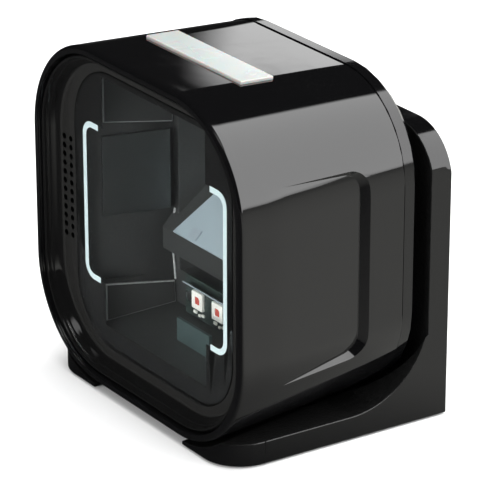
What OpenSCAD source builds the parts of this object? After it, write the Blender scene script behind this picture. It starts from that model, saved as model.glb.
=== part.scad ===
// Compact upright presentation bar code scanner: a tilting head in an L-shaped stand.
// Millimetres. +Z is up, the window faces -Y, and the origin is the middle of the
// footprint on the surface that the stand rests on.

/* [Head] */
// Width of the head at its front lip
head_w = 153; // [130:1:185]
// Height of the head at its front lip
head_h = 150; // [140:1:182]
// Depth of the head from lip to rear cover
head_d = 92; // [88:1:112]
// Corner radius of the head at its front lip
head_r = 46; // [38:1:50]
// How much each side draws in from lip to rear
taper_x = 5; // [2:0.5:8]
// How much the top and bottom draw in from lip to rear
taper_z = 6; // [3:0.5:8]
// Wall of the moulded housing
wall = 2.6; // [2:0.1:3.2]
// Height of the head's lower lip above the surface
floor_gap = 4.5; // [4:0.5:8]
// Depth of the rear cover
cover_d = 8; // [7:0.5:10]

/* [Window] */
// Width of the window glass
glass_w = 115; // [104:1:116]
// Height of the window glass
glass_h = 124; // [118:1:124]
// Corner radius of the window glass
glass_r = 27; // [22:1:30]
// Thickness of the window glass
glass_t = 2.5; // [2:0.1:3]
// Depth of the glass behind the front lip
glass_in = 9; // [8:0.5:10]
// Diameter of one sound hole
sound_hole_d = 2; // [1.4:0.2:2.4]

/* [Stand] */
// Width of the stand at its rear
stand_w = 144; // [132:1:172]
// How much narrower the stand is at its front
stand_draw = 12; // [6:1:16]
// Height of the upright above the surface
upright_h = 127; // [120:1:134]
// Thickness of the upright
upright_t = 10; // [9:0.5:12]
// Corner radius of the upright's top corners
upright_r = 23; // [16:1:28]
// Height of the base's side rails
rail_h = 10.8; // [9:0.2:14]
// Radius of the inner corner between base and upright
inner_r = 38; // [28:1:42]
// Half width of the open bay between the two front feet
bay_half = 33; // [28:1:36]
// Radius of the front corners of the feet
foot_r = 18; // [12:1:20]
// Clear space between the head and the stand
head_gap = 2.2; // [2:0.1:3]
// Clear space between the rear cover and the upright
rear_gap = 6; // [5.5:0.5:8]
// Radius of a mounting screw hole
mount_hole_r = 2.3; // [2:0.1:2.6]

/* [Hinge] */
// Height of the tilt axis above the surface
axis_z = 116; // [112:1:117]
// Radius of the hinge pin
pin_r = 2.5; // [2:0.1:3]
// Radial clearance between the pin and the knuckle
pin_gap = 0.05; // [0.03:0.01:0.1]
// Outer radius of the knuckle and the ears
barrel_r = 5.5; // [5:0.1:5.5]
// Length of the knuckle
knuckle_l = 42; // [36:1:46]
// Thickness of one ear
ear_t = 5; // [4:0.5:6]

/* [Controls] */
// Radius of the push button
button_r = 4.5; // [4:0.25:5]
// Travel of the push button
button_travel = 0.8; // [0.5:0.1:1]
// Width of the indicator light bar
bar_w = 68; // [56:1:72]
// Depth of the indicator light bar
bar_d = 16; // [12:1:18]

/* [Hidden] */
$fn = 64;
hull_fn = 32;
eps = 0.01;
fit = 0.3;

// Places along the depth and the height of the head
stand_d = head_d + rear_gap + upright_t;
front_y = -stand_d / 2;
head_cz = floor_gap + head_h / 2;
upright_y = stand_d / 2 - upright_t;
axis_y = upright_y - rear_gap / 2;
axis_u = axis_z - head_cz;
shell_end = head_d - cover_d;
taper_a = atan(taper_z / head_d);
foot_t = 1.4;
foot_pad_r = 6;
foot_x = [55, 62];
stand_z0 = 0.8;

// Rings of the bezel, from the lip inwards
bezel_t0 = 1.6;
bezel_t1 = 14;
bezel_gap = 0.5;
bezel_hw = half_w(bezel_t1) - wall - bezel_gap;
bezel_hh = half_h(bezel_t1) - wall - bezel_gap;
bezel_r = corner(bezel_t1) - wall - bezel_gap;
ring_steps = [[bezel_t0, 4, 1.6], [4 - eps, 6.8, 2.8], [6.8 - eps, glass_in, 4]];
mask_t = 0.2;
gasket_t = 0.6;
seat_t = glass_in + glass_t + mask_t + gasket_t;
seat_lap = 3;
clear_w = 75.4;
clear_h = 112;
clear_u = 2.5;
band_w = 105;
band_h = 70;
band_u = 0.8;

// Sound holes in the left flank of the bezel
sound_rows = 12;
sound_pitch = 4;
sound_col = 4.8;
flank_mid = (bezel_hw - 4 + glass_w / 2) / 2;

// Optical chassis behind the window
chassis_t0 = bezel_t1 + 0.6;
chassis_t1 = head_d - 24;
chassis_w = glass_w + 3;
chassis_h = glass_h - 4;
chassis_r = 28;
tall_hw = 46.8;
tall_u0 = -56;
tall_u1 = 57;
tall_t1 = chassis_t1 - 15;
band_front_hw = 54;
band_rear_hw = 38.5;
band_u0 = -40;
band_u1 = 40;
band_t1 = chassis_t1 - 1.2;

// Main fold mirror, leaning back at 45 degrees
mirror_t = 1.5;
mirror_hw0 = 37.4;
mirror_hw1 = 28.5;
mirror_len = 26;
mirror_t0 = chassis_t1 - 21;
mirror_u0 = -19.8;
side_mirror = [30, 36, 1.2];
side_a = atan((band_front_hw - band_rear_hw) / (band_t1 - chassis_t0));
lower_mirror_size = [24, 1.5, 10.5];
lower_mirror_t = chassis_t0 + 16;

// Camera that looks down on the main mirror
cam_t = chassis_t1 - 11;
cam_u = 40;
barrel_len = 12;
barrel_or = 6;
glass_or = 4.6;
holder_size = 18;
cam_board_size = [26, 22, 1.2];
cam_board_u = cam_u + 17;

// Lighting board under the mirror
led_u = -46.5;
led_t = chassis_t1 - 18.5;
led_pitch = 15;
led_size = [7.8, 1.6, 8];
led_board_size = [66, 1.6, 18];

// Boards, sockets and the push button at the rear
pcb_t = 1.6;
main_t = chassis_t1 + 6;
main_w = 112;
main_h = 118;
boss_x = 44;
boss_u = 46;
boss_r = 4;
screw_r = 1.25;
screw_head_r = 2.6;
screw_head_h = 1.8;
socket_u = -34;
socket_x = -14;
socket_size = [16, 14];
socket_hole = [11.8, 8.4];
usb_x = 14;
usb_size = [14.5, 7.4];
usb_hole = [12.6, 5];
socket_depth = 11;
button_x = 30;
button_u = 55;
button_proud = 0.8;
stem_r = 2;
switch_h = 3.4;
cover_boss_x = 52;
cover_boss_u = 40;
cover_boss_r = 4;
web_t = 3;

// Hinge bay in the rear cover and its bracket in the upright
bay_w = knuckle_l + 2 * ear_t + 6;
bay_h = 2 * barrel_r + 6;
bay_deep = 4;
washer_t = 0.8;
ear_x0 = knuckle_l / 2 + washer_t + 0.2;
bracket_w = 2 * (ear_x0 + ear_t) + 2;
bracket_z0 = axis_z - 20;
bracket_t = 3;
bracket_in = barrel_r - rear_gap / 2 + 0.7;

// Light bar set into the top of the housing
bar_t0 = 30;
bar_proud = 0.7;
flange = 1.5;

// Ballast plate and screw pattern of the stand
plate_w = 108;
plate_d = 26;
plate_t = 3;
plate_r = 6;
wall_screw_x = 50;
wall_screw_z = [42, 92];
window_w = 64;
window_z = [34, 60];
bench_x = 44;
bench_y = 2;
bay_d = 56;
bay_r = 12;
pan_head_r = 4.6;
plate_screws = [-42, 42];
plate_y = upright_y - 6;
bracket_screw_x = 15;
bracket_screw_z = axis_z - 14;
stop_x = 44;
stop_z = 66;
foot_places = [for (sx = [-1, 1], i = [0, 1]) [sx * foot_x[i], [front_y + 18, stand_d / 2 - 10][i]]];

// Finger recess in each side: depths where it starts and ends, half height and deepest cut
grip_t = [23, 66];
grip_len = grip_t[1] - grip_t[0];
grip_half = 42.5;
grip_deep = 3.4;
grip_u = 1;
grip_r = 4;
grip_a = atan(grip_deep / grip_len + taper_x / head_d);

function half_w(t) = head_w / 2 - taper_x * t / head_d;
function half_h(t) = head_h / 2 - taper_z * t / head_d;
function corner(t) = head_r - taper_x * t / head_d;

// Square with true round corners
module round_square(w, h, r) {
    square([w - 2 * r, h], center = true);
    square([w, h - 2 * r], center = true);
    for (sx = [-1, 1], sy = [-1, 1])
        translate([sx * (w / 2 - r), sy * (h / 2 - r)]) circle(r = r);
}

// Outline in the X-Z plane, drawn between two depths of the head
module slab(t0, t1) {
    translate([0, front_y + t1, head_cz]) rotate([90, 0, 0]) linear_extrude(t1 - t0) children();
}

// Outline in the Y-Z plane, drawn across the width
module across(w, x = 0) {
    translate([x, 0, 0]) rotate([90, 0, 90]) linear_extrude(w, center = true) children();
}

// Solid of the head's own section between two depths, inset all round
module head_solid(t0, t1, inset, edge0 = 0, edge1 = 0) {
    stations = [[t0, edge0], [t0 + edge0 + eps, 0], [t1 - edge1 - 2 * eps, 0], [t1 - eps, edge1]];
    hull() {
        for (s = stations, sx = [-1, 1], sz = [-1, 1]) {
            r = corner(s[0]) - inset - s[1];
            x = half_w(s[0]) - inset - s[1] - r;
            z = half_h(s[0]) - inset - s[1] - r;
            translate([sx * x, front_y + s[0], head_cz + sz * z])
                rotate([-90, 0, 0]) cylinder(r = r, h = eps, $fn = hull_fn);
        }
    }
}

// Cylinder along the depth of the head
module rod(x, u, t0, t1, r) {
    translate([x, front_y + t0, head_cz + u]) rotate([-90, 0, 0]) cylinder(r = r, h = t1 - t0);
}

// Block between two depths of the head
module block(x, u, w, h, t0, t1) {
    translate([x - w / 2, front_y + t0, head_cz + u - h / 2]) cube([w, t1 - t0, h]);
}

// Cylinder across the width, on the tilt axis
module axle(x0, x1, r) {
    translate([x0, axis_y, axis_z]) rotate([0, 90, 0]) cylinder(r = r, h = x1 - x0);
}

// Place on the sloping top of the housing, at a depth
module on_top(t) {
    translate([0, front_y + t, head_cz + half_h(t)]) rotate([-taper_a, 0, 0]) children();
}

// ---- Stand ----

module stand_side() {
    y0 = front_y + 0.8;
    y1 = stand_d / 2;
    difference() {
        polygon([[y0, stand_z0], [y1, stand_z0], [y1, upright_h], [upright_y, upright_h],
            [upright_y, rail_h + inner_r], [upright_y - inner_r, rail_h], [y0, rail_h]]);
        translate([upright_y - inner_r, rail_h + inner_r]) circle(r = inner_r, $fn = 128);
    }
    difference() {
        translate([upright_y - inner_r, rail_h]) square([inner_r, inner_r]);
        translate([upright_y - inner_r, rail_h + inner_r]) circle(r = inner_r, $fn = 128);
    }
}

module stand_plan() {
    y0 = front_y + 0.8;
    y1 = stand_d / 2;
    hw1 = stand_w / 2;
    hw0 = hw1 - stand_draw / 2;
    lean = atan((hw1 - hw0) / (y1 - y0));
    cx = hw0 + tan(lean) * foot_r - foot_r / cos(lean);
    difference() {
        polygon([[-hw1, y1], [hw1, y1], [hw0, y0], [-hw0, y0]]);
        for (s = [-1, 1])
            difference() {
                translate([s * (cx + foot_r), y0]) square([2 * foot_r, 2 * foot_r], center = true);
                translate([s * cx, y0 + foot_r]) circle(r = foot_r);
            }
        translate([0, y0]) square([2 * bay_half, 2 * (bay_d - bay_r)], center = true);
        translate([0, y0 + bay_d - 2 * bay_r]) round_square(2 * bay_half, 4 * bay_r, bay_r);
    }
}

module stand_frame() {
    color("#141415") difference() {
        intersection() {
            across(stand_w + 2) stand_side();
            linear_extrude(upright_h + 1) stand_plan();
            translate([0, stand_d / 2 + 1, 0]) rotate([90, 0, 0]) linear_extrude(stand_d + 2) {
                translate([0, upright_h - 60]) round_square(stand_w + 1, 120, upright_r);
                translate([0, 30]) square([stand_w + 1, 60], center = true);
            }
        }
        scoop();
        // ballast pocket and its screws
        translate([0, plate_y, stand_z0 - eps]) linear_extrude(plate_t + 0.2 + eps)
            round_square(plate_w + 2 * fit, plate_d + 2 * fit, plate_r + fit);
        for (x = plate_screws) translate([x, plate_y, 0]) cylinder(r = screw_r, h = plate_t + 3.4);
        for (p = foot_places) translate([p[0], p[1], 0]) cylinder(r = foot_pad_r, h = foot_t);
        // cable window and wall screws
        translate([0, stand_d / 2 + 1, (window_z[0] + window_z[1]) / 2]) rotate([90, 0, 0])
            linear_extrude(upright_t + 2) round_square(window_w, window_z[1] - window_z[0], 6);
        for (s = [-1, 1], z = wall_screw_z) translate([s * wall_screw_x, 0, z]) rotate([-90, 0, 0]) {
            cylinder(r = mount_hole_r, h = stand_d);
            cylinder(r = pan_head_r, h = upright_y + 3.5);
        }
        // bench screws through the rails
        for (s = [-1, 1]) translate([s * bench_x, bench_y, -1]) {
            cylinder(r = mount_hole_r, h = rail_h + 3);
            translate([0, 0, 5]) cylinder(r = pan_head_r, h = rail_h);
        }
        // pocket for the hinge bracket, and its screws
        translate([-bracket_w / 2 - fit, upright_y - 1, bracket_z0 - fit])
            cube([bracket_w + 2 * fit, 1 + bracket_in + bracket_t, upright_h - bracket_z0 + 2]);
        for (s = [-1, 1]) translate([s * bracket_screw_x, upright_y, bracket_screw_z]) rotate([-90, 0, 0])
            cylinder(r = screw_r, h = upright_t - 1.5);
        // blind holes for the stop pads
        for (s = [-1, 1]) translate([s * stop_x, upright_y - 1, stop_z]) rotate([-90, 0, 0])
            cylinder(r = 4, h = 3);
    }
}

// Clear space for the head at rest
module scoop() {
    rise = head_gap;
    hull() {
        for (t = [-4, head_d + rear_gap - eps], sx = [-1, 1], sz = [-1, 1]) {
            r = corner(t) + rise;
            translate([sx * (half_w(t) + rise - r), front_y + t, head_cz + sz * (half_h(t) + rise - r)])
                rotate([-90, 0, 0]) cylinder(r = r, h = eps, $fn = 96);
        }
    }
}

module base_plate() {
    color("#8d9094") difference() {
        translate([0, plate_y, stand_z0 + 0.2])
            linear_extrude(plate_t) round_square(plate_w, plate_d, plate_r);
        for (x = plate_screws) translate([x, plate_y, 0]) {
            cylinder(r = screw_r + 0.2, h = 10);
            cylinder(r = screw_head_r + 0.1, h = stand_z0 + 0.2 + 1.6);
        }
    }
}

module base_screws() {
    color("#b8bbc0") for (x = plate_screws) translate([x, plate_y, stand_z0 + 0.2]) {
        cylinder(r = screw_head_r, h = 1.6);
        cylinder(r = screw_r, h = plate_t + 1.6);
    }
}

module rubber_feet() {
    color("#232323") for (p = foot_places) translate([p[0], p[1], 0]) cylinder(r = foot_pad_r, h = foot_t);
}

module stop_pads() {
    color("#2a2a2a") for (s = [-1, 1])
        translate([s * stop_x, upright_y - rear_gap + 0.3, stop_z]) rotate([-90, 0, 0])
            cylinder(r = 4, h = rear_gap - 0.3 + 2);
}

module hinge_bracket() {
    y0 = upright_y + bracket_in;
    color("#6f7276") difference() {
        union() {
            translate([-bracket_w / 2, y0, bracket_z0])
                cube([bracket_w, bracket_t, upright_h - 2 - bracket_z0]);
            for (s = [-1, 1]) {
                x = s * (ear_x0 + ear_t / 2);
                axle(x - ear_t / 2, x + ear_t / 2, barrel_r);
                translate([x - ear_t / 2, axis_y, axis_z - barrel_r])
                    cube([ear_t, y0 - axis_y + eps, 2 * barrel_r]);
            }
        }
        axle(-bracket_w, bracket_w, pin_r);
        for (s = [-1, 1]) translate([s * bracket_screw_x, 0, bracket_screw_z]) rotate([-90, 0, 0])
            cylinder(r = screw_r + 0.2, h = stand_d);
    }
}

module hinge_screws() {
    y0 = upright_y + bracket_in;
    color("#b8bbc0") for (s = [-1, 1])
        translate([s * bracket_screw_x, y0, bracket_screw_z]) rotate([-90, 0, 0]) {
            translate([0, 0, -screw_head_h]) cylinder(r = screw_head_r, h = screw_head_h);
            cylinder(r = screw_r, h = bracket_t + 2);
        }
}

module hinge_pin() {
    color("#c6c9cd") axle(-ear_x0 - ear_t - 0.5, ear_x0 + ear_t + 0.5, pin_r);
}

// ---- Housing of the head ----

// Wedge of the finger recess on one side, grown by a wall
module grip_wedge(s, grow) {
    reach = 40;
    len = grip_len / cos(grip_a) + reach;
    translate([s * half_w(grip_t[0]), front_y + grip_t[0], head_cz + grip_u])
        rotate([0, 0, s * grip_a])
            translate([s * reach / 2, len / 2 - reach, 0])
                rotate([0, 90, 0])
                    linear_extrude(reach + 2 * grow, center = true)
                        round_square(2 * (grip_half + grow), len + 2 * grow, grip_r + grow);
}

module housing_shell() {
    color("#0b0b0c") difference() {
        union() {
            difference() {
                head_solid(0, shell_end, 0, 2, 0);
                head_solid(-1, shell_end + 1, wall);
            }
            intersection() {
                head_solid(0.5, shell_end - 1, wall / 2);
                union() for (s = [-1, 1]) grip_backing(s);
            }
            for (p = corners4(cover_boss_x, cover_boss_u)) {
                rod(p[0], p[1], shell_end - 14, shell_end - 6, cover_boss_r);
                intersection() {
                    block((p[0] + sign(p[0]) * half_w(0)) / 2, p[1], half_w(0) - cover_boss_x, web_t,
                        shell_end - 14, shell_end - 6);
                    head_solid(0.5, shell_end - 1, wall / 2);
                }
            }
        }
        for (s = [-1, 1]) grip_wedge(s, 0);
        for (p = corners4(cover_boss_x, cover_boss_u)) rod(p[0], p[1], shell_end - 15, shell_end, screw_r);
        on_top(bar_t0 + bar_d / 2) translate([-bar_w / 2 - 0.1, -bar_d / 2 - 0.1, -wall - 2])
            cube([bar_w + 0.2, bar_d + 0.2, wall + 4]);
    }
}

// Wall behind the finger recess
module grip_backing(s) {
    intersection() {
        grip_wedge(s, wall);
        block(s * half_w(0), grip_u, 50, 2 * (grip_half + wall), grip_t[0] - 2, grip_t[1] + wall);
    }
}

function corners4(x, u) = [for (sx = [-1, 1], su = [-1, 1]) [sx * x, su * u]];

module rear_cover() {
    lip = 5;
    inner = wall + 2.2;
    color("#111112") difference() {
        union() {
            difference() {
                union() {
                    head_solid(shell_end, head_d, 0, 0, 3);
                    head_solid(shell_end - lip, shell_end + 1, wall + 0.2);
                }
                head_solid(shell_end - lip - 1, head_d - 3, inner);
            }
            block(0, axis_u, bay_w + 6, bay_h + 6, head_d - bay_deep - 3, head_d - 1);
            for (p = corners4(cover_boss_x, cover_boss_u)) rod(p[0], p[1], shell_end - 5.8, head_d - 1, cover_boss_r);
        }
        block(0, axis_u, bay_w, bay_h, head_d - bay_deep, head_d + 1);
        for (s = [-1, 1]) rod(s * 12, axis_u, head_d - 10, head_d, screw_r + 0.2);
        for (p = corners4(cover_boss_x, cover_boss_u)) {
            rod(p[0], p[1], shell_end - 8, head_d + 1, screw_r + 0.2);
            rod(p[0], p[1], head_d - 2.4, head_d + 1, screw_head_r + 0.3);
        }
        block(socket_x, socket_u, socket_size[0] + 0.6, socket_size[1] + 0.6, head_d - 5, head_d + 1);
        block(usb_x, socket_u, usb_size[0] + 0.6, usb_size[1] + 0.6, head_d - 5, head_d + 1);
        rod(button_x, button_u, head_d - 6, head_d + 1, button_r + 0.25);
        for (i = [-4:4]) block(i * 7, -6, 3, 22, head_d - 5, head_d + 1);
    }
}

module cover_screws() {
    color("#2b2c2e") for (p = corners4(cover_boss_x, cover_boss_u)) {
        rod(p[0], p[1], head_d - 2.4, head_d - 0.6, screw_head_r);
        rod(p[0], p[1], shell_end - 12, head_d - 2.4, screw_r);
    }
}

module front_bezel() {
    color("#0e0e0f") difference() {
        slab(bezel_t0, bezel_t1) round_square(2 * bezel_hw, 2 * bezel_hh, bezel_r);
        for (s = ring_steps) slab(s[0] - eps, s[1])
            round_square(2 * (bezel_hw - s[2]), 2 * (bezel_hh - s[2]), bezel_r - s[2]);
        slab(glass_in - 1, seat_t) round_square(glass_w + fit, glass_h + fit, glass_r + fit / 2);
        slab(seat_t - eps, bezel_t1 + 1)
            round_square(glass_w - 2 * seat_lap, glass_h - 2 * seat_lap, glass_r - seat_lap);
        for (i = [0:sound_rows - 1], j = [-1, 1])
            rod(-flank_mid + j * sound_col / 2, (i - (sound_rows - 1) / 2) * sound_pitch + 2,
                glass_in - 1, bezel_t1 + 1, sound_hole_d / 2);
    }
}

module scan_window() {
    color([0.55, 0.6, 0.62, 0.35]) slab(glass_in, glass_in + glass_t)
        round_square(glass_w, glass_h, glass_r);
}

module window_mask() {
    color("#050505") difference() {
        slab(glass_in + glass_t, glass_in + glass_t + mask_t) round_square(glass_w, glass_h, glass_r);
        block(0, clear_u, clear_w, clear_h, glass_in, seat_t + 1);
        slab(glass_in, seat_t + 1) translate([0, band_u]) round_square(band_w, band_h, 5);
    }
}

module window_gasket() {
    color("#1d1d1d") slab(seat_t - gasket_t, seat_t) difference() {
        round_square(glass_w, glass_h, glass_r);
        round_square(glass_w - 2 * seat_lap, glass_h - 2 * seat_lap, glass_r - seat_lap);
    }
}

// ---- Indicator ----

module light_bar() {
    color("#e6e9e7") on_top(bar_t0 + bar_d / 2) {
        translate([-bar_w / 2, -bar_d / 2, -wall - 1]) cube([bar_w, bar_d, wall + 1 + bar_proud]);
        translate([-bar_w / 2 - flange, -bar_d / 2 - flange, -wall - 2.4])
            cube([bar_w + 2 * flange, bar_d + 2 * flange, 1.6]);
    }
}

module indicator_board() {
    color("#1f5136") on_top(bar_t0 + bar_d / 2) translate([-bar_w / 2, -bar_d / 2, -wall - 5.6])
        cube([bar_w, bar_d, 1.2]);
}

module indicator_leds() {
    color("#f2f0e2") on_top(bar_t0 + bar_d / 2) for (x = [-1:1])
        translate([x * bar_w / 3 - 1.6, -1.4, -wall - 4.4]) cube([3.2, 2.8, 1]);
}

// ---- Optics ----

module optical_chassis() {
    color("#1b1b1d") {
        difference() {
            union() {
                slab(chassis_t0, chassis_t1) round_square(chassis_w, chassis_h, chassis_r);
                for (p = corners4(boss_x, boss_u)) rod(p[0], p[1], chassis_t1 - 1, main_t, boss_r);
            }
            difference() {
                union() {
                    block(0, (tall_u0 + tall_u1) / 2, 2 * tall_hw, tall_u1 - tall_u0,
                        chassis_t0 - 1, tall_t1);
                    intersection() {
                        translate([0, 0, head_cz + band_u0]) linear_extrude(band_u1 - band_u0)
                            polygon([[-band_front_hw, front_y + chassis_t0],
                                [band_front_hw, front_y + chassis_t0],
                                [band_rear_hw, front_y + band_t1], [-band_rear_hw, front_y + band_t1]]);
                        block(0, 0, chassis_w, chassis_h, chassis_t0 - eps, band_t1);
                    }
                    slab(chassis_t0 - 1, chassis_t0 + 1.2) translate([0, band_u])
                        round_square(band_w + 1, band_h + 4, 5);
                }
                // shelf that carries the main mirror
                across(2 * tall_hw + 20) polygon([[front_y + mirror_t0 + 0.2, head_cz + mirror_u0],
                    [front_y + mirror_t0 + 0.2 + 30, head_cz + mirror_u0 + 30],
                    [front_y + chassis_t1 + 5, head_cz + mirror_u0 + 30],
                    [front_y + chassis_t1 + 5, head_cz + mirror_u0 - 10],
                    [front_y + mirror_t0 + 0.2, head_cz + mirror_u0 - 10]]);
                // camera block in the ceiling
                block(0, cam_u + 11, 2 * tall_hw, 30, cam_t - 12, cam_t + 16);
            }
            for (p = corners4(boss_x, boss_u)) rod(p[0], p[1], chassis_t1 - 6, main_t + 1, screw_r);
            // seat of the camera: bore, holder pocket and board pocket
            translate([0, front_y + cam_t, head_cz + cam_u - 20]) cylinder(r = barrel_or + 0.1, h = 40);
            translate([-holder_size / 2 - 0.1, front_y + cam_t - 9.1, head_cz + cam_u + 10])
                cube([holder_size + 0.2, 18.2, 30]);
            translate([-cam_board_size[0] / 2 - 0.2, front_y + cam_t - 11.2, head_cz + cam_board_u])
                cube([cam_board_size[0] + 0.4, 22.4, 20]);
            for (s = [-1, 1]) translate([s * 11, front_y + cam_t, head_cz + cam_board_u - 5])
                cylinder(r = screw_r, h = 8);
            for (s = [-1, 1]) rod(s * 29, led_u, led_t, led_t + 8, screw_r);
            // light path below the mirror shelf, and the slot of the flat cable
            block(0, led_u, led_board_size[0] + 0.6, led_board_size[2] + 0.6, led_t - 20, led_t + pcb_t);
            block(-20, led_u, 14, 8, led_t, chassis_t1 + 1);
            block(-36, 52, 12, 4, cam_t, chassis_t1 + 1);
        }
    }
}

module main_mirror() {
    color("#c9d6dc") translate([0, front_y + mirror_t0, head_cz + mirror_u0])
        rotate([45, 0, 0]) linear_extrude(mirror_t)
            polygon([[-mirror_hw0, 0], [mirror_hw0, 0],
                [mirror_hw1, mirror_len], [-mirror_hw1, mirror_len]]);
}

module side_mirror_plate(s) {
    translate([s * (band_front_hw - 0.15), front_y + chassis_t0 + 6, head_cz + 8])
        rotate([0, 0, s * side_a])
            translate([s * (-side_mirror[2] / 2 - 2.1), side_mirror[0] / 2, 0])
                cube([side_mirror[2], side_mirror[0], side_mirror[1]], center = true);
}

module left_mirror() { color("#c9d6dc") side_mirror_plate(-1); }

module right_mirror() { color("#c9d6dc") side_mirror_plate(1); }

module lower_mirror() {
    color("#3d5a5c") block(0, tall_u0 + lower_mirror_size[2] / 2, lower_mirror_size[0],
        lower_mirror_size[2], lower_mirror_t, lower_mirror_t + lower_mirror_size[1]);
}

module mirror_clips() {
    color("#b9bcc0") for (s = [-1, 1]) translate([0, front_y + mirror_t0, head_cz + mirror_u0])
        rotate([45, 0, 0]) translate([s * 24 - 3, 1, mirror_t]) cube([6, 5, 0.5]);
}

module camera_board() {
    color("#1f5136") difference() {
        translate([-cam_board_size[0] / 2, front_y + cam_t - 11, head_cz + cam_board_u])
            cube([cam_board_size[0], cam_board_size[1], cam_board_size[2]]);
        for (s = [-1, 1]) translate([s * 11, front_y + cam_t, head_cz + cam_board_u - 1])
            cylinder(r = screw_r + 0.2, h = 4);
    }
}

module image_sensor() {
    color("#2f3338") translate([-4, front_y + cam_t - 4, head_cz + cam_board_u - 1.2]) cube([8, 8, 1.2]);
}

module lens_holder() {
    color("#18181a") difference() {
        translate([-holder_size / 2, front_y + cam_t - 9, head_cz + cam_u + 10])
            cube([holder_size, 18, cam_board_u - cam_u - 10]);
        translate([0, front_y + cam_t, head_cz + cam_u]) cylinder(r = barrel_or, h = 13.5);
        translate([0, front_y + cam_t, head_cz + cam_u]) cylinder(r = glass_or, h = 15);
        translate([-5, front_y + cam_t - 5, head_cz + cam_u + 14.5]) cube([10, 10, 10]);
        for (s = [-1, 1]) translate([s * 11, front_y + cam_t, head_cz + cam_u]) cylinder(r = 2.2, h = 30);
    }
}

module lens_barrel() {
    color("#101011") translate([0, front_y + cam_t, head_cz + cam_u - 1]) difference() {
        cylinder(r = barrel_or, h = barrel_len + 2);
        translate([0, 0, -1]) cylinder(r = glass_or, h = barrel_len + 4);
    }
}

module lens_glass() {
    color([0.4, 0.35, 0.55, 0.6]) translate([0, front_y + cam_t, head_cz + cam_u])
        cylinder(r = glass_or, h = 3);
}

module camera_screws() {
    color("#b8bbc0") for (s = [-1, 1]) translate([s * 11, front_y + cam_t, head_cz + cam_board_u]) {
        translate([0, 0, cam_board_size[2]]) cylinder(r = 2, h = 1);
        translate([0, 0, -4]) cylinder(r = screw_r, h = 4 + cam_board_size[2]);
    }
}

module led_board() {
    color("#1c3a2e") difference() {
        block(0, led_u, led_board_size[0], led_board_size[2], led_t, led_t + pcb_t);
        for (s = [-1, 1]) rod(s * 29, led_u, led_t - 1, led_t + 5, screw_r + 0.2);
    }
}

module led_packages() {
    color("#eceae2") for (i = [-1.5:1:1.5])
        block(i * led_pitch, led_u, led_size[0], led_size[2], led_t - led_size[1], led_t);
}

module led_reflector() {
    color("#b9c2c8") translate([0, front_y + led_t - 0.2, head_cz + led_u + led_size[2] / 2 + 0.5])
        rotate([-35, 0, 0]) translate([-28, -6.2, 0]) cube([56, 6, 0.6]);
}

module led_screws() {
    color("#b8bbc0") for (s = [-1, 1]) {
        rod(s * 29, led_u, led_t - 1.2, led_t, 2.2);
        rod(s * 29, led_u, led_t, led_t + 6, screw_r);
    }
}

// ---- Electronics at the rear ----

module main_board() {
    color("#1f5136") difference() {
        slab(main_t, main_t + pcb_t) round_square(main_w, main_h, chassis_r);
        for (p = corners4(boss_x, boss_u)) rod(p[0], p[1], main_t - 1, main_t + 3, screw_r + 0.2);
        for (p = corners4(cover_boss_x, cover_boss_u)) rod(p[0], p[1], main_t - 1, main_t + 3, 5);
    }
}

module board_screws() {
    color("#b8bbc0") for (p = corners4(boss_x, boss_u)) {
        rod(p[0], p[1], main_t + pcb_t, main_t + pcb_t + 1.6, 2.2);
        rod(p[0], p[1], chassis_t1 - 4, main_t + pcb_t, screw_r);
    }
}

module processor_shield() {
    color("#b9bcc0") block(0, 8, 32, 30, main_t + pcb_t, main_t + pcb_t + 3);
}

module interface_socket() {
    color("#1a1a1b") difference() {
        block(socket_x, socket_u, socket_size[0], socket_size[1], main_t + pcb_t, head_d - 0.5);
        block(socket_x, socket_u, socket_hole[0], socket_hole[1], head_d - socket_depth, head_d);
    }
}

module usb_socket() {
    color("#b4b7bb") difference() {
        block(usb_x, socket_u, usb_size[0], usb_size[1], main_t + pcb_t, head_d - 0.5);
        block(usb_x, socket_u, usb_hole[0], usb_hole[1], head_d - socket_depth, head_d);
    }
}

module flex_cable() {
    color("#c9b26a") block(-20, led_u, 12, 0.4, led_t + pcb_t, main_t);
}

module speaker() {
    color("#303236") slab(bezel_t1 + 1, bezel_t1 + 8) translate([-flank_mid - 1, 2]) round_square(9.6, 46, 4);
}

module speaker_gasket() {
    color("#3a3a3a") slab(bezel_t1, bezel_t1 + 1) translate([-flank_mid - 1, 2]) difference() {
        round_square(9.6, 46, 4);
        round_square(7.4, 43.8, 2.9);
    }
}

module button_switch() {
    color("#2b2b2d") {
        block(button_x, button_u, 6, 6, main_t + pcb_t, main_t + pcb_t + 2.4);
        rod(button_x, button_u, main_t + pcb_t + 2.4, main_t + pcb_t + switch_h, 1.6);
    }
}

module volume_button() {
    color("#1c1c1e") {
        rod(button_x, button_u, head_d - 4.4, head_d + button_proud, button_r);
        rod(button_x, button_u, head_d - 4.4, head_d - 3.2, button_r + 1.2);
        rod(button_x, button_u, main_t + pcb_t + switch_h + button_travel + 0.2, head_d - 4.4 + eps, stem_r);
    }
}

// ---- Head side of the hinge ----

module hinge_knuckle() {
    color("#6f7276") difference() {
        union() {
            axle(-knuckle_l / 2, knuckle_l / 2, barrel_r);
            translate([-knuckle_l / 2, front_y + head_d - bay_deep, axis_z - barrel_r])
                cube([knuckle_l, axis_y - front_y - head_d + bay_deep, 2 * barrel_r]);
        }
        axle(-knuckle_l, knuckle_l, pin_r + pin_gap);
        for (s = [-1, 1]) rod(s * 12, axis_u, head_d - bay_deep - 1, head_d - bay_deep + 3, screw_r);
    }
}

module knuckle_screws() {
    color("#b8bbc0") for (s = [-1, 1]) {
        rod(s * 12, axis_u, head_d - bay_deep - 3 - screw_head_h, head_d - bay_deep - 3, screw_head_r);
        rod(s * 12, axis_u, head_d - bay_deep - 3, head_d - bay_deep + 2.6, screw_r);
    }
}

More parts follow.
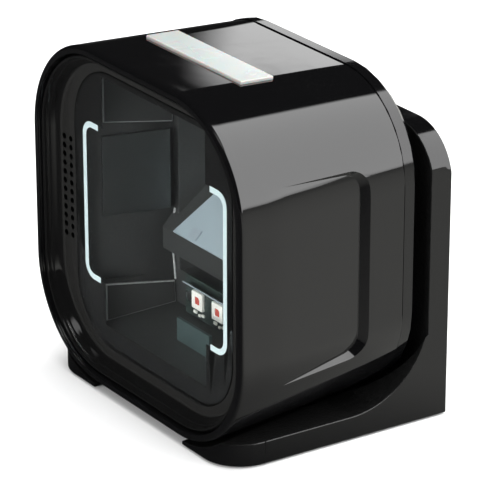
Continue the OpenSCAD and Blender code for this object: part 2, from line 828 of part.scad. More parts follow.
module friction_washers() {
    color("#a98f55") for (s = [-1, 1]) {
        x = s * (knuckle_l / 2 + 0.1 + washer_t / 2);
        difference() {
            axle(x - washer_t / 2, x + washer_t / 2, barrel_r - 0.5);
            axle(x - washer_t, x + washer_t, pin_r + pin_gap);
        }
    }
}

stand_frame();
base_plate();
base_screws();
rubber_feet();
stop_pads();
hinge_bracket();
hinge_screws();
hinge_pin();
housing_shell();
rear_cover();
cover_screws();
front_bezel();
scan_window();
window_mask();
window_gasket();
light_bar();
indicator_board();
indicator_leds();
optical_chassis();
main_mirror();
left_mirror();
right_mirror();
lower_mirror();
mirror_clips();
camera_board();
image_sensor();
lens_holder();
lens_barrel();
lens_glass();
camera_screws();
led_board();
led_packages();
led_reflector();
led_screws();
main_board();
board_screws();
processor_shield();
interface_socket();
usb_socket();
flex_cable();
speaker();
speaker_gasket();
button_switch();
volume_button();
hinge_knuckle();
knuckle_screws();
friction_washers();
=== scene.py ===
import math

import bmesh
import bpy
from mathutils import Matrix, Vector


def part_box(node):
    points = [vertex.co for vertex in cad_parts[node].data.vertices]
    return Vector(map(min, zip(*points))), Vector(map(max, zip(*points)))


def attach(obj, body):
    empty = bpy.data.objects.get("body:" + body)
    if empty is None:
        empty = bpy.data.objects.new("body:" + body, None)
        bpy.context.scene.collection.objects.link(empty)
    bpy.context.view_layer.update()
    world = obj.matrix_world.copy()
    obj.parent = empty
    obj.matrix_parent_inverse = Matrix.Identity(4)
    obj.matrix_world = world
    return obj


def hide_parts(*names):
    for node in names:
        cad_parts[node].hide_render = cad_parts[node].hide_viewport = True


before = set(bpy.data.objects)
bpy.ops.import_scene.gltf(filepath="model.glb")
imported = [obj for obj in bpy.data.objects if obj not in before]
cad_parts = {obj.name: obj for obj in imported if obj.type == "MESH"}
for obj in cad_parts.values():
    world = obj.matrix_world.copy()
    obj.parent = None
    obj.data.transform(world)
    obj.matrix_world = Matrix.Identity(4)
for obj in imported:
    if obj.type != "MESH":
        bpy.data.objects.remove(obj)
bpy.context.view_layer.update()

MM = 0.001

# ---------------------------------------------------------------- sizes, from the frame where it has them

SHELL_LOW, SHELL_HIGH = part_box("housing_shell")
BEZEL_LOW, BEZEL_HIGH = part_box("front_bezel")
GLASS_LOW, GLASS_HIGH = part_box("scan_window")
MASK_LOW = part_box("window_mask")[0]
BAR_LOW, BAR_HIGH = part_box("light_bar")
LEDS_LOW, LEDS_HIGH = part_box("led_packages")
BOARD_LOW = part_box("led_board")[0]
STAND_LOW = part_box("stand_frame")[0]
SPEAKER_LOW, SPEAKER_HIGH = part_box("speaker")

FRONT = SHELL_LOW.y
SHELL_END = SHELL_HIGH.y
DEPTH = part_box("rear_cover")[1].y - FRONT
GLASS_RISE = 0.5 * MM
MID_Z = (GLASS_LOW.z + GLASS_HIGH.z) / 2 - GLASS_RISE
HEAD_W = 153 * MM
HEAD_H = 150 * MM
HEAD_R = 46 * MM
DRAW_X = 5 * MM
DRAW_Z = 6 * MM
WALL = 2.6 * MM
GLASS_W = GLASS_HIGH.x - GLASS_LOW.x
GLASS_H = GLASS_HIGH.z - GLASS_LOW.z
GLASS_R = 27 * MM
RAIL_END = 62 * MM
TOE = 12 * MM
CORNER_STEPS = 28


def section(y, inset=0.0):
    """Width, height and corner radius of the head at a place along its depth."""
    t = (y - FRONT) / DEPTH
    return (HEAD_W - 2 * DRAW_X * t - 2 * inset, HEAD_H - 2 * DRAW_Z * t - 2 * inset,
            HEAD_R - DRAW_X * t - inset)


# ---------------------------------------------------------------- shaping tools


def ring(bm, y, width, height, radius, z=MID_Z, steps=CORNER_STEPS):
    """Edges of a rounded rectangle that stands across the depth."""
    flat = bmesh.new()
    bmesh.ops.create_grid(flat, x_segments=1, y_segments=1, size=0.5)
    bmesh.ops.scale(flat, vec=(width, height, 1), verts=flat.verts)
    bmesh.ops.bevel(flat, geom=list(flat.verts), offset=radius, offset_type="OFFSET", segments=steps,
                    profile=0.5, affect="VERTICES", clamp_overlap=False, material=-1)
    stand = Matrix.Translation((0, y, z)) @ Matrix.Rotation(math.pi / 2, 4, "X")
    bmesh.ops.transform(flat, matrix=stand, verts=flat.verts)
    bmesh.ops.delete(flat, geom=list(flat.faces), context="FACES_ONLY")
    outline = bpy.data.meshes.new("outline")
    flat.to_mesh(outline)
    flat.free()
    before = len(bm.edges)
    bm.from_mesh(outline)
    bpy.data.meshes.remove(outline)
    bm.edges.ensure_lookup_table()
    return bm.edges[before:]


def loft(bm, rings, closed=False):
    """Skin through rings that follow each other."""
    pairs = list(zip(rings, rings[1:]))
    if closed:
        pairs.append((rings[-1], rings[0]))
    for first, second in pairs:
        bmesh.ops.bridge_loops(bm, edges=first + second)


def cap(bm, edges):
    """Closes a ring with a face."""
    bmesh.ops.contextual_create(bm, geom=edges)


def tidy(bm):
    """Merges what meets and turns every face outward."""
    bmesh.ops.remove_doubles(bm, verts=bm.verts, dist=1e-7)
    bmesh.ops.recalc_face_normals(bm, faces=bm.faces)


def fill(bm, rings):
    """Solid through rings that follow each other, with a face on each end."""
    loft(bm, rings)
    cap(bm, rings[0])
    cap(bm, rings[-1])
    tidy(bm)
    return bm


def head_shape(profile):
    """Solid through (depth, inset) points of the head's own section."""
    bm = bmesh.new()
    return fill(bm, [ring(bm, y, *section(y, inset)) for y, inset in profile])


def block(low, high, edge=0.0):
    """Box between two corners, with its edges eased where a width is given."""
    bm = bmesh.new()
    low, high = Vector(low), Vector(high)
    verts = bmesh.ops.create_cube(bm, size=1)["verts"]
    bmesh.ops.scale(bm, vec=high - low, verts=verts)
    bmesh.ops.translate(bm, vec=(low + high) / 2, verts=verts)
    if edge:
        bmesh.ops.bevel(bm, geom=list(bm.edges), offset=edge, segments=3, profile=0.5,
                        affect="EDGES", clamp_overlap=True, material=-1)
    return bm


def rod(centre, length, front_radius, rear_radius, sides):
    """Cylinder or cone about a place, along the depth."""
    bm = bmesh.new()
    turn = Matrix.Rotation(-math.pi / 2, 4, "X")
    bmesh.ops.create_cone(bm, cap_ends=True, segments=sides, radius1=front_radius, radius2=rear_radius,
                          depth=length, matrix=Matrix.Translation(centre) @ turn)
    return bm


def join(*parts):
    """One mesh from several, which are used up."""
    whole = bmesh.new()
    for part in parts:
        shell = bpy.data.meshes.new("part")
        part.to_mesh(shell)
        part.free()
        whole.from_mesh(shell)
        bpy.data.meshes.remove(shell)
    return whole


def as_object(bm, name="tool"):
    """Object made of a mesh, which is used up."""
    shell = bpy.data.meshes.new(name)
    bm.to_mesh(shell)
    bm.free()
    made = bpy.data.objects.new(name, shell)
    bpy.context.scene.collection.objects.link(made)
    return made


def carve(bm, tool):
    """The first mesh with the second taken from it."""
    target, cutter = as_object(bm), as_object(tool)
    change = target.modifiers.new("carve", "BOOLEAN")
    change.operation = "DIFFERENCE"
    change.object = cutter
    change.solver = "EXACT"
    seen = target.evaluated_get(bpy.context.evaluated_depsgraph_get())
    result = bmesh.new()
    result.from_mesh(seen.to_mesh())
    seen.to_mesh_clear()
    for used in (target, cutter):
        shell = used.data
        bpy.data.objects.remove(used)
        bpy.data.meshes.remove(shell)
    return result


def ease(bm, width, angle, where=None, steps=3, clamp=True):
    """Rounds the edges that turn more than an angle, everywhere or only at places that pass a test."""
    turn = math.radians(angle)
    sharp = [e for e in bm.edges if len(e.link_faces) == 2 and e.calc_face_angle(0) > turn
             and (where is None or all(where(v.co) for v in e.verts))]
    bmesh.ops.bevel(bm, geom=sharp, offset=width, offset_type="OFFSET", segments=steps, profile=0.5,
                    affect="EDGES", clamp_overlap=clamp, material=-1)


def cad_copy(node, edge, angle=30, steps=2, clamp=True):
    """Merged copy of a CAD node with its edges eased."""
    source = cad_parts[node]
    bm = bmesh.new()
    bm.from_mesh(source.data)
    bmesh.ops.transform(bm, matrix=source.matrix_world, verts=bm.verts)
    bmesh.ops.remove_doubles(bm, verts=bm.verts, dist=2e-6)
    bmesh.ops.dissolve_limit(bm, angle_limit=math.radians(0.6), verts=bm.verts, edges=bm.edges)
    ease(bm, edge, angle, steps=steps, clamp=clamp)
    return bm


def finish_piece(bm, name, material, body, stands_for=(), crease=38, weigh=True):
    """Puts a mesh into the scene as a piece of the object."""
    for face in bm.faces:
        face.smooth = True
    for edge in bm.edges:
        edge.smooth = len(edge.link_faces) != 2 or edge.calc_face_angle(0) < math.radians(crease)
    made = as_object(bm, name)
    made.data.materials.append(material)
    if weigh:
        even = made.modifiers.new("even", "WEIGHTED_NORMAL")
        even.keep_sharp = True
        even.weight = 60
    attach(made, body)
    if stands_for:
        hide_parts(*stands_for)
    return made


# ---------------------------------------------------------------- surface effects


def effect(name, inputs, outputs):
    """Empty node group with named inputs and outputs."""
    tree = bpy.data.node_groups.new(name, "ShaderNodeTree")
    for label, value in inputs.items():
        made = tree.interface.new_socket(label, in_out="INPUT", socket_type="NodeSocketFloat")
        made.default_value = value
    for label in outputs:
        tree.interface.new_socket(label, in_out="OUTPUT", socket_type="NodeSocketFloat")
    return tree, tree.nodes.new("NodeGroupInput"), tree.nodes.new("NodeGroupOutput")


def add(tree, kind, **settings):
    """Node with its settings. A key such as i0 names an input by its place, and a socket is linked."""
    made = tree.nodes.new("ShaderNode" + kind)
    for key, value in settings.items():
        if hasattr(made, key) and not isinstance(value, bpy.types.NodeSocket):
            setattr(made, key, value)
            continue
        by_place = key[0] == "i" and key[1:].isdigit()
        socket = made.inputs[int(key[1:])] if by_place else made.inputs[key.replace("_", " ")]
        if isinstance(value, bpy.types.NodeSocket):
            tree.links.new(value, socket)
        else:
            socket.default_value = value
    return made


def place(tree):
    """Where a point is on its own piece."""
    return add(tree, "TexCoord").outputs["Object"]


def math_node(tree, operation, *values, **settings):
    """Result of an operation on numbers or sockets."""
    made = add(tree, "Math", operation=operation, **settings)
    for socket, value in zip(made.inputs, values):
        if isinstance(value, bpy.types.NodeSocket):
            tree.links.new(value, socket)
        else:
            socket.default_value = value
    return made.outputs[0]


def times(tree, first, second):
    return math_node(tree, "MULTIPLY", first, second)


def plus(tree, first, second, **settings):
    return math_node(tree, "ADD", first, second, **settings)


def ramp(tree, value, start, end, low=0.0, high=1.0, **settings):
    """Number that goes from low to high as the value goes from start to end, and stays level beyond."""
    return add(tree, "MapRange", Value=value, From_Min=start, From_Max=end, To_Min=low, To_Max=high,
               **settings).outputs["Result"]


def spread(tree, mask, low, high):
    """Number that goes from low to high as the mask goes from 0 to 1."""
    return ramp(tree, mask, 0.0, 1.0, low, high)


def blend(tree, mask, first, second):
    """Number from the first to the second as the mask goes from 0 to 1; each is a number or a socket."""
    return add(tree, "Mix", data_type="FLOAT", i0=mask, i2=first, i3=second).outputs[0]


def tint(tree, mask, first, second):
    """Colour from the first to the second as the mask goes from 0 to 1; each is a colour or a socket."""
    mixed = add(tree, "Mix", data_type="RGBA", i0=mask)
    for socket, colour in ((mixed.inputs[6], first), (mixed.inputs[7], second)):
        if isinstance(colour, bpy.types.NodeSocket):
            tree.links.new(colour, socket)
        else:
            socket.default_value = (*colour, 1)
    return mixed.outputs[2]


def show(tree, mask, first, second):
    """Surface of the first shader where the mask is 0, and of the second where it is 1."""
    mixed = add(tree, "MixShader", i0=mask, i1=first, i2=second)
    tree.links.new(mixed.outputs[0], tree.nodes["Material Output"].inputs["Surface"])


def make_ripple():
    """Slow waviness of a polished moulding, with a finer skin on it."""
    tree, given, out = effect("moulding_ripple", {"Size": 90.0, "Skin": 0.25}, ["Height"])
    slow = add(tree, "TexNoise", Vector=place(tree), Scale=given.outputs["Size"], Detail=1.0)
    fine = add(tree, "TexNoise", Vector=place(tree), Scale=1400.0, Detail=2.0)
    skin = times(tree, fine.outputs["Fac"], given.outputs["Skin"])
    tree.links.new(plus(tree, slow.outputs["Fac"], skin), out.inputs["Height"])
    return tree


def make_handling():
    """Faint smears and hairline rubs, as a mask from 0 to 1."""
    tree, given, out = effect("handling_marks", {"Smear": 1.0, "Hairline": 1.0}, ["Mask"])
    smear = add(tree, "TexNoise", Vector=place(tree), Scale=28.0, Detail=6.0, Roughness=0.62, Distortion=1.4)
    soft = times(tree, ramp(tree, smear.outputs["Fac"], 0.52, 0.78), given.outputs["Smear"])
    turn = add(tree, "Mapping", Vector=place(tree), Rotation=(0.3, 0.5, 0.9), Scale=(1.0, 34.0, 4.0))
    line = add(tree, "TexNoise", Vector=turn.outputs["Vector"], Scale=46.0, Detail=3.0)
    thin = times(tree, ramp(tree, line.outputs["Fac"], 0.69, 0.74), given.outputs["Hairline"])
    tree.links.new(plus(tree, soft, thin, use_clamp=True), out.inputs["Mask"])
    return tree


def make_dust():
    """Specks of dust, thicker on faces that look up."""
    tree, given, out = effect("settled_dust", {"Amount": 0.3, "Grain": 900.0}, ["Mask"])
    up = add(tree, "SeparateXYZ", Vector=add(tree, "NewGeometry").outputs["Normal"])
    top = ramp(tree, up.outputs["Z"], -0.4, 1.0, 0.35)
    speck = add(tree, "TexVoronoi", Vector=place(tree), Scale=given.outputs["Grain"])
    near = ramp(tree, speck.outputs["Distance"], 0.16, 0.05)
    patch = add(tree, "TexNoise", Vector=place(tree), Scale=60.0, Detail=4.0)
    held = times(tree, near, ramp(tree, patch.outputs["Fac"], 0.45, 0.75))
    held = times(tree, times(tree, held, top), given.outputs["Amount"])
    tree.links.new(held, out.inputs["Mask"])
    return tree


def make_grain():
    """Spark-eroded mould texture: small soft pits."""
    tree, given, out = effect("spark_grain", {"Size": 1100.0, "Depth": 1.0}, ["Height", "Tone"])
    pits = add(tree, "TexVoronoi", feature="SMOOTH_F1", Vector=place(tree), Scale=given.outputs["Size"],
               Smoothness=0.6)
    crumb = add(tree, "TexNoise", Vector=place(tree), Scale=given.outputs["Size"], Detail=4.0, Roughness=0.7)
    both = plus(tree, pits.outputs["Distance"], crumb.outputs["Fac"])
    tree.links.new(times(tree, both, given.outputs["Depth"]), out.inputs["Height"])
    tree.links.new(ramp(tree, crumb.outputs["Fac"], 0.3, 0.7), out.inputs["Tone"])
    return tree


def make_brush():
    """Fine lines drawn one way across a metal."""
    tree, given, out = effect("drawn_lines", {"Fineness": 300.0}, ["Lines"])
    drawn = add(tree, "Mapping", Vector=place(tree), Scale=(1.0, 1.0, 26.0))
    lines = add(tree, "TexNoise", Vector=drawn.outputs["Vector"], Scale=given.outputs["Fineness"], Detail=4.0)
    tree.links.new(lines.outputs["Fac"], out.inputs["Lines"])
    return tree


RIPPLE = make_ripple()
HANDLING = make_handling()
DUST = make_dust()
GRAIN = make_grain()
BRUSH = make_brush()


def use(tree, group, **values):
    """Node that runs one of the shared effects with its own values."""
    made = tree.nodes.new("ShaderNodeGroup")
    made.node_tree = group
    for label, value in values.items():
        made.inputs[label].default_value = value
    return made


# ---------------------------------------------------------------- materials


def grey(level):
    return (level, level, level)


def paint(name, **fixed):
    """Material with a Principled shader, and the values that are the same all over it."""
    made = bpy.data.materials.new(name)
    made.use_nodes = True
    shader = made.node_tree.nodes["Principled BSDF"]
    for label, value in fixed.items():
        shader.inputs[label.replace("_", " ")].default_value = value
    return made, made.node_tree, shader


def bump(tree, shader, height, distance, strength):
    made = add(tree, "Bump", Strength=strength, Distance=distance, Height=height)
    tree.links.new(made.outputs["Normal"], shader.inputs["Normal"])


def gloss_moulding(name, tone=(0.0022, 0.0022, 0.0024), rough=0.045, ripple=70.0, depth=0.00003, dust=0.1):
    """Piano-black gloss moulding."""
    made, tree, shader = paint(name, IOR=1.5, Coat_Weight=0.35, Coat_Roughness=0.03)
    marks = use(tree, HANDLING, Smear=0.8, Hairline=0.5).outputs["Mask"]
    specks = use(tree, DUST, Amount=dust).outputs["Mask"]
    tree.links.new(tint(tree, specks, tone, (0.34, 0.34, 0.33)), shader.inputs["Base Color"])
    tree.links.new(spread(tree, marks, rough, rough + 0.07), shader.inputs["Roughness"])
    bump(tree, shader, use(tree, RIPPLE, Size=ripple, Skin=0.03).outputs["Height"], depth, 0.5)
    return made


def grained_moulding(name, tone, lift, rough, size=1500.0, depth=0.00006, dust=0.25):
    """Matt moulding with a spark-eroded texture, coloured from tone to lift."""
    made, tree, shader = paint(name, IOR=1.48, Specular_IOR_Level=0.45)
    texture = use(tree, GRAIN, Size=size)
    base = tint(tree, texture.outputs["Tone"], tone, lift)
    specks = use(tree, DUST, Amount=dust).outputs["Mask"]
    tree.links.new(tint(tree, specks, base, (0.4, 0.4, 0.39)), shader.inputs["Base Color"])
    marks = use(tree, HANDLING, Smear=0.6, Hairline=0.3).outputs["Mask"]
    smooth, coarse = rough
    tree.links.new(spread(tree, marks, coarse, smooth), shader.inputs["Roughness"])
    bump(tree, shader, texture.outputs["Height"], depth, 0.8)
    return made


def textured_faces(tree):
    """Mask of the stand's faces that carry the coarse texture: those that look in at the head."""
    facing = add(tree, "SeparateXYZ", Vector=add(tree, "NewGeometry").outputs["True Normal"]).outputs
    where = add(tree, "SeparateXYZ", Vector=place(tree)).outputs
    on_rail = ramp(tree, where["Z"], RAIL_END, RAIL_END - 2 * MM)
    looks_up = times(tree, on_rail, ramp(tree, facing["Z"], 0.12, 0.3))
    looks_forward = ramp(tree, facing["Y"], -0.12, -0.3)
    inner = math_node(tree, "MAXIMUM", looks_up, looks_forward)
    behind_toe = ramp(tree, where["Y"], STAND_LOW.y + TOE, STAND_LOW.y + TOE + 1 * MM)
    keep = math_node(tree, "MAXIMUM", behind_toe, ramp(tree, facing["Z"], 0.2, 0.4))
    not_side = ramp(tree, math_node(tree, "ABSOLUTE", facing["X"]), 0.93, 0.97, 1.0, 0.0)
    return times(tree, times(tree, inner, keep), not_side)


def stand_moulding():
    """Gloss on the outside faces, coarse texture on the faces that look in at the head."""
    made, tree, shader = paint("stand_moulding", IOR=1.5, Coat_Weight=0.2, Coat_Roughness=0.04)
    mask = textured_faces(tree)
    texture = use(tree, GRAIN, Size=750.0)
    coarse = tint(tree, texture.outputs["Tone"], (0.002, 0.002, 0.002), (0.006, 0.006, 0.006))
    base = tint(tree, mask, (0.0022, 0.0022, 0.0024), coarse)
    specks = use(tree, DUST, Amount=0.2).outputs["Mask"]
    tree.links.new(tint(tree, specks, base, (0.35, 0.35, 0.34)), shader.inputs["Base Color"])
    marks = use(tree, HANDLING, Smear=0.9, Hairline=0.6).outputs["Mask"]
    gloss = spread(tree, marks, 0.1, 0.2)
    matt = spread(tree, texture.outputs["Tone"], 0.34, 0.5)
    tree.links.new(blend(tree, mask, gloss, matt), shader.inputs["Roughness"])
    bump(tree, shader, times(tree, texture.outputs["Height"], mask), 0.00016, 1.0)
    return made


def cover_moulding():
    """Gloss round the sides, where it carries on from the housing, and texture on the rear face."""
    made, tree, shader = paint("cover_moulding", IOR=1.5, Coat_Weight=0.2, Coat_Roughness=0.04)
    facing = add(tree, "SeparateXYZ", Vector=add(tree, "NewGeometry").outputs["True Normal"])
    rear = ramp(tree, facing.outputs["Y"], 0.8, 0.9)
    texture = use(tree, GRAIN, Size=1500.0)
    tone = times(tree, texture.outputs["Tone"], rear)
    tree.links.new(tint(tree, tone, (0.0024, 0.0024, 0.0026), (0.012, 0.012, 0.0125)),
                   shader.inputs["Base Color"])
    marks = use(tree, HANDLING, Smear=0.6, Hairline=0.3).outputs["Mask"]
    tree.links.new(blend(tree, rear, spread(tree, marks, 0.08, 0.16), 0.45), shader.inputs["Roughness"])
    bump(tree, shader, times(tree, texture.outputs["Height"], rear), 0.00006, 0.8)
    return made


def metal(name, tone, worn, rough=(0.22, 0.4), fineness=300.0):
    """Metal with fine drawn lines, coloured from tone to worn."""
    made, tree, shader = paint(name, Metallic=1.0)
    lines = use(tree, BRUSH, Fineness=fineness).outputs["Lines"]
    tree.links.new(tint(tree, lines, tone, worn), shader.inputs["Base Color"])
    tree.links.new(spread(tree, lines, *rough), shader.inputs["Roughness"])
    bump(tree, shader, lines, 0.00001, 0.5)
    return made


def window_glass():
    """Clear float glass that lets light through to what is behind it."""
    made, tree, shader = paint("window_glass", IOR=1.5, Transmission_Weight=1.0, Roughness=0.0)
    smear = use(tree, HANDLING, Smear=0.5, Hairline=0.15).outputs["Mask"]
    tree.links.new(tint(tree, smear, (0.93, 0.95, 0.95), (0.86, 0.88, 0.88)), shader.inputs["Base Color"])
    tree.links.new(spread(tree, smear, 0.0, 0.05), shader.inputs["Roughness"])
    clear = add(tree, "BsdfTransparent", Color=(0.9, 0.92, 0.92, 1))
    shadow = add(tree, "LightPath").outputs["Is Shadow Ray"]
    show(tree, shadow, shader.outputs["BSDF"], clear.outputs["BSDF"])
    return made


def milky_lens():
    """Translucent white of the indicator light bar."""
    made, tree, shader = paint("milky_lens", IOR=1.49, Subsurface_Weight=0.7, Subsurface_Scale=0.004,
                               Coat_Weight=0.4, Coat_Roughness=0.06)
    cloud = add(tree, "TexNoise", Vector=place(tree), Scale=35.0, Detail=2.0).outputs["Fac"]
    tree.links.new(tint(tree, cloud, (0.36, 0.39, 0.38), (0.41, 0.44, 0.43)), shader.inputs["Base Color"])
    tree.links.new(spread(tree, cloud, 0.2, 0.32), shader.inputs["Roughness"])
    bump(tree, shader, use(tree, GRAIN, Size=1600.0).outputs["Height"], 0.00002, 0.4)
    return made


def mirror_coat(name, tone, rough, silver=1.0):
    """Mirror with a haze on it; the less silver, the more it looks like pale paint."""
    made, tree, shader = paint(name, Metallic=silver)
    haze = add(tree, "TexNoise", Vector=place(tree), Scale=55.0, Detail=3.0).outputs["Fac"]
    tree.links.new(tint(tree, haze, tone, tuple(c * 0.9 for c in tone)), shader.inputs["Base Color"])
    tree.links.new(spread(tree, haze, *rough), shader.inputs["Roughness"])
    return made


def laminate(name, tone, trace):
    """Circuit board with traces under its mask."""
    made, tree, shader = paint(name, IOR=1.5, Coat_Weight=0.5, Coat_Roughness=0.18)
    upright = add(tree, "Mapping", Vector=place(tree), Rotation=(math.pi / 2, 0, 0))
    lanes = add(tree, "TexBrick", Vector=upright.outputs["Vector"], Scale=210.0, Mortar_Size=0.06)
    lanes = lanes.outputs["Fac"]
    tree.links.new(tint(tree, lanes, tone, trace), shader.inputs["Base Color"])
    tree.links.new(spread(tree, lanes, 0.38, 0.28), shader.inputs["Roughness"])
    bump(tree, shader, lanes, 0.00003, 0.6)
    return made


def printed_marks():
    """Pale ink of the bracket marks."""
    made, tree, shader = paint("bracket_ink", IOR=1.45)
    weave = add(tree, "TexNoise", Vector=place(tree), Scale=2600.0, Detail=2.0).outputs["Fac"]
    tree.links.new(tint(tree, weave, (0.72, 0.86, 0.88), (0.8, 0.92, 0.93)), shader.inputs["Base Color"])
    tree.links.new(spread(tree, weave, 0.4, 0.55), shader.inputs["Roughness"])
    bump(tree, shader, weave, 0.00001, 0.4)
    return made


HOUSING = gloss_moulding("housing_gloss")
BEZEL = gloss_moulding("bezel_gloss", grey(0.004), 0.07, 60.0, 0.00002, 0.06)
FLANK = gloss_moulding("flank_satin", (0.013, 0.013, 0.0125), 0.2, 90.0, 0.00002, 0.12)
# near-black painted shade for the walls of the sound holes, much darker than the bezel's own plastic
HOLE_SHADE = grained_moulding("hole_painted_shade", grey(0.0004), grey(0.0008), (0.9, 1.0), dust=0.0)
MASK = gloss_moulding("border_print", grey(0.012), 0.2, 120.0, 0.00001, 0.1)
COVER = cover_moulding()
STAND = stand_moulding()
CHASSIS = grained_moulding("chassis_texture", (0.03, 0.031, 0.031), (0.045, 0.046, 0.045), (0.26, 0.4),
                           1300.0, 0.00002, 0.9)
FACET = grained_moulding("facet_edge", (0.05, 0.051, 0.05), (0.065, 0.066, 0.065), (0.2, 0.3),
                         1300.0, 0.00001, 0.5)
# pale grey painted on the facet rims and wall ribs as highlights along the chassis edges
FACET_HIGHLIGHT = grained_moulding("facet_painted_highlight", (0.3, 0.305, 0.3), (0.45, 0.455, 0.45), (0.2, 0.3),
                             700.0, 0.00001, 0.3)
SOCKET = grained_moulding("socket_plastic", (0.01, 0.01, 0.011), (0.02, 0.02, 0.02), (0.35, 0.5))
BUTTON = grained_moulding("button_texture", (0.012, 0.012, 0.013), (0.022, 0.022, 0.023), (0.35, 0.48),
                          1900.0)
RUBBER = grained_moulding("soft_rubber", grey(0.012), grey(0.024), (0.6, 0.8), 900.0, 0.00008)
GLASS = window_glass()
LENS = milky_lens()
MIRROR = mirror_coat("silver_mirror", (0.42, 0.5, 0.54), (0.35, 0.45), 0.25)
SIDE_MIRROR = mirror_coat("side_mirror_glass", (0.16, 0.165, 0.165), (0.42, 0.5))
CLIP = mirror_coat("clip_plating", (0.4, 0.46, 0.5), (0.3, 0.4), 0.3)
DARK_MIRROR = mirror_coat("teal_mirror", (0.1, 0.14, 0.14), (0.3, 0.4), 0.5)
FOIL = mirror_coat("reflector_foil", (0.5, 0.56, 0.6), (0.2, 0.3), 0.35)
STEEL = metal("plated_steel", (0.55, 0.56, 0.57), (0.68, 0.69, 0.7))
BLACK_STEEL = metal("black_steel", (0.03, 0.03, 0.033), (0.06, 0.06, 0.065), (0.3, 0.42))
ZINC = metal("cast_zinc", (0.3, 0.31, 0.32), (0.42, 0.43, 0.44), (0.38, 0.55), 120.0)
BRONZE = metal("spring_bronze", (0.5, 0.36, 0.17), (0.62, 0.47, 0.25))
BOARD = laminate("board_mask", (0.01, 0.045, 0.03), (0.02, 0.075, 0.045))
DARK_BOARD = laminate("lighting_board_mask", (0.02, 0.03, 0.028), (0.035, 0.05, 0.045))
FILM = grained_moulding("amber_film", (0.5, 0.27, 0.06), (0.58, 0.34, 0.1), (0.25, 0.35), 400.0, 0.00001)
CERAMIC = grained_moulding("led_ceramic", (0.78, 0.76, 0.7), (0.86, 0.84, 0.79), (0.35, 0.5), 900.0, 0.00001)
DIE = gloss_moulding("led_die", (0.55, 0.1, 0.08), 0.2, 300.0, 0.00001, 0.0)
CHIP = grained_moulding("chip_resin", (0.015, 0.015, 0.016), (0.03, 0.03, 0.03), (0.4, 0.55), 1600.0)
INK = printed_marks()

# ---------------------------------------------------------------- camera, stage and light

AIM = Vector((5.2, 0.8, 64.4)) * MM
DISTANCE = 1.3368
AZIMUTH, ELEVATION = 54.75, 23.19
FOCAL_LENGTH, SENSOR = 230.4, 36

FLOOR_HALF = 6
# the painted shade that glossy surfaces see in the floor runs along this turn, over this span
FLOOR_TURN = math.radians(-53)
REFLECTED_SHADE_START, REFLECTED_SHADE_END = -20 * MM, 120 * MM


def around(azimuth, elevation, distance):
    """Place on a sphere about the object, by the way that a camera there would look from."""
    a, e = math.radians(azimuth), math.radians(elevation)
    return Vector((math.sin(a) * math.cos(e), -math.cos(a) * math.cos(e), math.sin(e))) * distance


def look(thing, at, target):
    """Puts a camera or a light into the scene, turned to a target."""
    made = bpy.data.objects.new(thing.name, thing)
    made.location = at
    made.rotation_mode = "QUATERNION"
    made.rotation_quaternion = (Vector(target) - Vector(at)).to_track_quat("-Z", "Y")
    bpy.context.scene.collection.objects.link(made)
    return made


def set_camera():
    lens = bpy.data.cameras.new("view")
    lens.lens = FOCAL_LENGTH
    lens.sensor_width = SENSOR
    lens.clip_start = 0.05
    lens.clip_end = 50
    bpy.context.scene.camera = look(lens, AIM + around(AZIMUTH, ELEVATION, DISTANCE), AIM)


def set_stage():
    """Pale floor; glossy surfaces see instead a painted reflection of it, painted shade that is dark on the
    front left and mid-grey on the rear right.
    """
    bm = bmesh.new()
    bmesh.ops.create_grid(bm, x_segments=1, y_segments=1, size=FLOOR_HALF)
    floor = as_object(bm, "floor")
    made, tree, shader = paint("pale_floor_with_painted_reflection", Roughness=0.6, Specular_IOR_Level=0.2)
    cloud = add(tree, "TexNoise", Vector=place(tree), Scale=3.0).outputs["Fac"]
    tree.links.new(tint(tree, cloud, grey(0.9), grey(0.91)), shader.inputs["Base Color"])
    turned = add(tree, "Mapping", Vector=place(tree), Rotation=(0, 0, FLOOR_TURN))
    across = add(tree, "SeparateXYZ", Vector=turned.outputs["Vector"]).outputs["X"]
    reflected_shade = ramp(tree, across, REFLECTED_SHADE_START, REFLECTED_SHADE_END)
    # glossy rays see this painted reflection in place of the floor: a grey from dark to mid-grey, painted
    # shade
    painted_reflection = add(tree, "BsdfDiffuse", Color=tint(tree, reflected_shade, grey(0.02), (0.3, 0.3, 0.285)))
    glossy = add(tree, "LightPath").outputs["Is Glossy Ray"]
    show(tree, glossy, shader.outputs["BSDF"], painted_reflection.outputs["BSDF"])
    floor.data.materials.append(made)


def softbox(name, at, target, width, height, power):
    """Soft area light that lights the object but isn't mirrored in it."""
    light = bpy.data.lights.new(name, "AREA")
    light.shape = "RECTANGLE"
    light.size = width
    light.size_y = height
    light.energy = power
    look(light, at, target).visible_glossy = False


def panel(tree, azimuth, elevation, width, height, feather, strength):
    """Soft-edged bright panel of the studio, as a value by direction. Angles are in degrees."""
    way = add(tree, "SeparateXYZ", Vector=add(tree, "TexCoord").outputs["Generated"])
    turn = math_node(tree, "ARCTAN2", way.outputs["X"], times(tree, way.outputs["Y"], -1.0))
    turn = math_node(tree, "SUBTRACT", turn, math.radians(azimuth))
    turn = math_node(tree, "WRAP", turn, math.pi, -math.pi)
    rise = math_node(tree, "ARCSINE", way.outputs["Z"])
    rise = math_node(tree, "SUBTRACT", rise, math.radians(elevation))
    soft = math.radians(feather)
    masks = []
    for angle, size in ((turn, width), (rise, height)):
        half = math.radians(size / 2)
        off = math_node(tree, "ABSOLUTE", angle)
        masks.append(ramp(tree, off, half + soft, half - soft, interpolation_type="SMOOTHSTEP"))
    return times(tree, times(tree, *masks), strength)


# azimuth, elevation, width, height and feather in degrees, and strength
PANELS = [
    (-156.4, 11, 60, 10, 0.6, 1.8),
    (140, 28, 90, 58, 2.5, 3.7),
    (60, 68, 60, 16, 4, 1.6),
]
BETWEEN_PANELS = 0.01
DIFFUSE_LEVEL = 0.45


